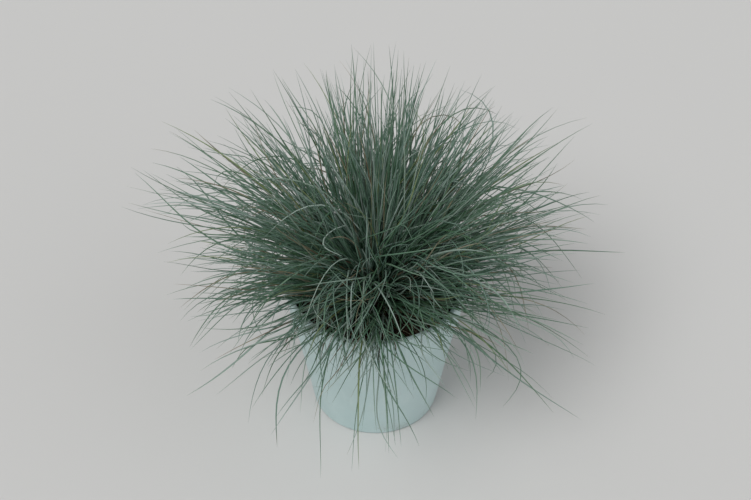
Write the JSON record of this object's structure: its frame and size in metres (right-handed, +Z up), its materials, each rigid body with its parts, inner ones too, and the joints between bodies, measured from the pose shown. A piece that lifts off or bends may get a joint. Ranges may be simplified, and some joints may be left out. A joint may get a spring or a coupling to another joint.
{
  "type": "potted blue fescue clump",
  "caption": "Small clump of thread-like blue-grey grass leaves arching out from a low crown in potting soil, in a round tapered nursery pot with a rolled lip.",
  "frame": {"origin": "centre of the pot's base, on the surface that the pot stands on", "axes": "+Z up, along the pot's axis; -Y is the front, the side that faces the viewer; +X to the right"},
  "size_m": [0.2742, 0.2769, 0.2261],
  "materials": {
    "pot_plastic": "smooth moulded, satin, pale blue-grey",
    "potting_soil": "moist dark potting soil of peat and bark crumbs, matt",
    "leaf_bases": "packed leaf bases and dry brown thatch, matt",
    "fescue_leaf": "thin folded leaves with a blue-grey waxy bloom, satin"
  },
  "bodies": {
    "root": {"pot": "pot_plastic", "soil": "potting_soil", "crown": "leaf_bases", "tuft_01": "fescue_leaf", "tuft_02": "fescue_leaf", "tuft_03": "fescue_leaf", "tuft_04": "fescue_leaf", "tuft_05": "fescue_leaf", "tuft_06": "fescue_leaf", "tuft_07": "fescue_leaf", "tuft_08": "fescue_leaf", "tuft_09": "fescue_leaf", "tuft_10": "fescue_leaf", "tuft_11": "fescue_leaf", "tuft_12": "fescue_leaf", "tuft_13": "fescue_leaf", "tuft_14": "fescue_leaf", "tuft_15": "fescue_leaf", "tuft_16": "fescue_leaf", "tuft_17": "fescue_leaf", "tuft_18": "fescue_leaf", "tuft_19": "fescue_leaf", "tuft_20": "fescue_leaf", "tuft_21": "fescue_leaf", "tuft_22": "fescue_leaf", "tuft_23": "fescue_leaf", "tuft_24": "fescue_leaf", "tuft_25": "fescue_leaf", "tuft_26": "fescue_leaf", "tuft_27": "fescue_leaf", "tuft_28": "fescue_leaf", "tuft_29": "fescue_leaf", "tuft_30": "fescue_leaf", "tuft_31": "fescue_leaf", "tuft_32": "fescue_leaf", "tuft_33": "fescue_leaf", "tuft_34": "fescue_leaf", "tuft_35": "fescue_leaf", "tuft_36": "fescue_leaf", "tuft_37": "fescue_leaf", "tuft_38": "fescue_leaf", "tuft_39": "fescue_leaf", "tuft_40": "fescue_leaf", "tuft_41": "fescue_leaf", "tuft_42": "fescue_leaf", "tuft_43": "fescue_leaf", "tuft_44": "fescue_leaf"}
  },
  "joints": []
}
